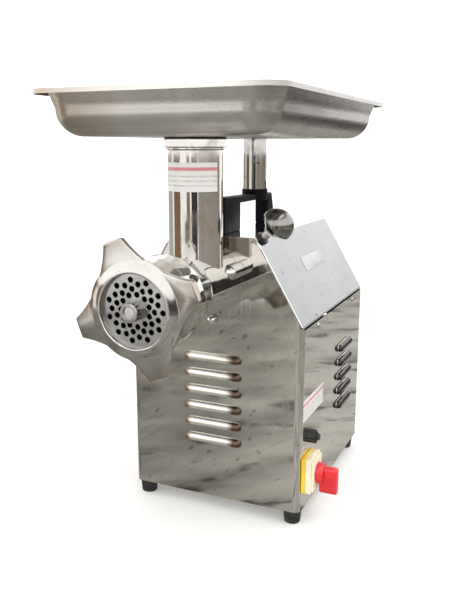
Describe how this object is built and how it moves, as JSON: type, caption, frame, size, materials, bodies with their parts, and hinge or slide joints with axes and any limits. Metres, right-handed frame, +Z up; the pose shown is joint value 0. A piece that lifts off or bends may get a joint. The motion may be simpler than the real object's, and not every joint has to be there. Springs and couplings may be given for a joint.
{
  "type": "electric meat grinder",
  "caption": "Countertop meat grinder: sloped steel casing with a geared motor, clamped grinding head with lobed ring nut, and a wide feed tray on a neck and rear post.",
  "frame": {"origin": "on the surface the feet stand on, at the centre of the casing's footprint", "axes": "+Z up, -Y out of the front along the grinding head, +X towards the side with the switch"},
  "size_m": [0.2963, 0.479, 0.5146],
  "materials": {
    "casing_steel": "mirror-polished stainless sheet with fine wiping streaks",
    "cover_steel": "mirror-polished stainless sheet, slightly rippled",
    "sheet_steel": "plain stainless or plated sheet",
    "rubber": "black moulded rubber",
    "zinc_fasteners": "zinc-plated steel",
    "bright_fasteners": "bright stainless",
    "cast_aluminium": "as-cast aluminium",
    "gasket_paper": "gasket paper",
    "bearing_steel": "ground bearing steel",
    "ground_steel": "ground steel",
    "gear_steel": "oiled gear steel",
    "motor_paint": "dark enamel",
    "lamination_steel": "stacked steel laminations",
    "winding_copper": "enamelled copper wire",
    "black_plastic": "black moulded plastic",
    "handle_plastic": "satin black moulded plastic",
    "capacitor_can": "white plastic can",
    "terminal_plastic": "white nylon",
    "switch_yellow": "yellow moulded plastic",
    "switch_cream": "cream moulded plastic",
    "switch_red": "red moulded plastic",
    "spring_steel": "spring steel",
    "polished_knob": "polished stainless",
    "clamp_steel": "turned stainless",
    "polished_casting": "polished stainless casting",
    "ring_casting": "polished stainless casting",
    "bronze": "sintered bronze",
    "worm_steel": "cast stainless",
    "knife_steel": "ground tool steel",
    "plate_steel": "satin stainless",
    "brushed_tray": "satin brushed stainless sheet",
    "post_steel": "polished stainless tube"
  },
  "bodies": {
    "root": {"casing_wrap": "casing_steel", "top_cover": "cover_steel", "rear_panel": "casing_steel", "base_plate": "sheet_steel", "rubber_feet": "rubber", "foot_screws": "zinc_fasteners", "cover_screws": "bright_fasteners", "panel_nuts": "bright_fasteners", "locating_dowel": "bright_fasteners", "gear_case": "cast_aluminium", "case_gasket": "gasket_paper", "gear_case_cover": "cast_aluminium", "gear_case_bolts": "zinc_fasteners", "shaft_seal": "rubber", "output_bearings": "bearing_steel", "counter_bearings": "bearing_steel", "motor_shell": "motor_paint", "stator_core": "lamination_steel", "stator_windings": "winding_copper", "rotor_bearings": "bearing_steel", "motor_end_bell": "cast_aluminium", "motor_cradle": "sheet_steel", "start_capacitor": "capacitor_can", "capacitor_clip": "sheet_steel", "terminal_block": "terminal_plastic", "cable_gland": "black_plastic", "switch_body": "black_plastic", "switch_plate": "switch_yellow", "switch_frame": "switch_cream", "reset_breaker": "black_plastic", "reset_bezel": "black_plastic", "reset_spring": "spring_steel", "clamp_bush": "black_plastic", "carry_handle": "handle_plastic", "tray_post": "post_steel", "post_cap": "post_steel", "handle_bolts": "zinc_fasteners"},
    "output_drive": {"output_shaft": "ground_steel", "output_gear": "gear_steel"},
    "counter_drive": {"counter_shaft": "ground_steel", "counter_pinion": "gear_steel", "counter_gear": "gear_steel"},
    "rotor": {"rotor_core": "lamination_steel", "rotor_shaft": "ground_steel", "motor_pinion": "gear_steel", "motor_fan": "black_plastic"},
    "switch_lever": {"switch_knob": "switch_red"},
    "reset_plunger": {"reset_button": "black_plastic"},
    "clamp_slider": {"clamp_washer": "terminal_plastic"},
    "clamp_handle": {"clamp_knob": "polished_knob", "clamp_screw": "clamp_steel"},
    "head": {"head_casting": "polished_casting", "tail_bush": "bronze", "plate_key": "bright_fasteners", "tray_gasket": "rubber"},
    "worm_drive": {"worm": "worm_steel", "knife": "knife_steel"},
    "plate": {"grinding_plate": "plate_steel"},
    "ring": {"ring_nut": "ring_casting"},
    "tray": {"feed_tray": "brushed_tray"}
  },
  "joints": [
    {"name": "rotor_spin", "type": "hinge", "parent": "root", "child": "rotor", "pos_m": [0, 0, 0.19125], "axis": [0, -1, 0], "continuous": true},
    {"name": "counter_spin", "type": "hinge", "parent": "root", "child": "counter_drive", "pos_m": [0, 0, 0.243], "axis": [0, -1, 0], "continuous": true},
    {"name": "output_spin", "type": "hinge", "parent": "root", "child": "output_drive", "pos_m": [0, 0, 0.3], "axis": [0, -1, 0], "continuous": true},
    {"name": "head_slide", "type": "slide", "parent": "root", "child": "head", "axis": [0, -1, 0], "range_m": [0, 0.08]},
    {"name": "worm_spin", "type": "hinge", "parent": "head", "child": "worm_drive", "pos_m": [0, -0.1375, 0.3], "axis": [0, -1, 0], "continuous": true},
    {"name": "plate_out", "type": "slide", "parent": "head", "child": "plate", "axis": [0, -1, 0], "range_m": [0, 0.012]},
    {"name": "ring_nut_turn", "type": "hinge", "parent": "plate", "child": "ring", "pos_m": [0, -0.1375, 0.3], "axis": [0, -1, 0], "range_deg": [0, 1080]},
    {"name": "tray_lift", "type": "slide", "parent": "head", "child": "tray", "axis": [0, 0, 1], "range_m": [0, 0.08]},
    {"name": "clamp_back", "type": "slide", "parent": "root", "child": "clamp_slider", "axis": [0.7431, 0, 0.6691], "range_m": [0, 0.0035]},
    {"name": "clamp_turn", "type": "hinge", "parent": "clamp_slider", "child": "clamp_handle", "pos_m": [0, -0.1215, 0.3], "axis": [0.7431, 0, 0.6691], "range_deg": [0, 720]},
    {"name": "switch_turn", "type": "hinge", "parent": "root", "child": "switch_lever", "pos_m": [0.115, -0.1135, 0.0655], "axis": [1, 0, 0], "range_deg": [-60, 60]},
    {"name": "reset_push", "type": "slide", "parent": "root", "child": "reset_plunger", "axis": [-1, 0, 0], "range_m": [0, 0.003], "stiffness_N_per_m": 400, "deforming": ["reset_spring"]}
  ],
  "couplings": [
    {"joint": "counter_spin", "follows": "rotor_spin", "ratio": -0.32692},
    {"joint": "output_spin", "follows": "rotor_spin", "ratio": 0.13894},
    {"joint": "worm_spin", "follows": "rotor_spin", "ratio": 0.13894},
    {"joint": "plate_out", "follows": "ring_nut_turn", "m_per_rad": 0.00063662},
    {"joint": "clamp_back", "follows": "clamp_turn", "m_per_rad": 0.00027852}
  ]
}
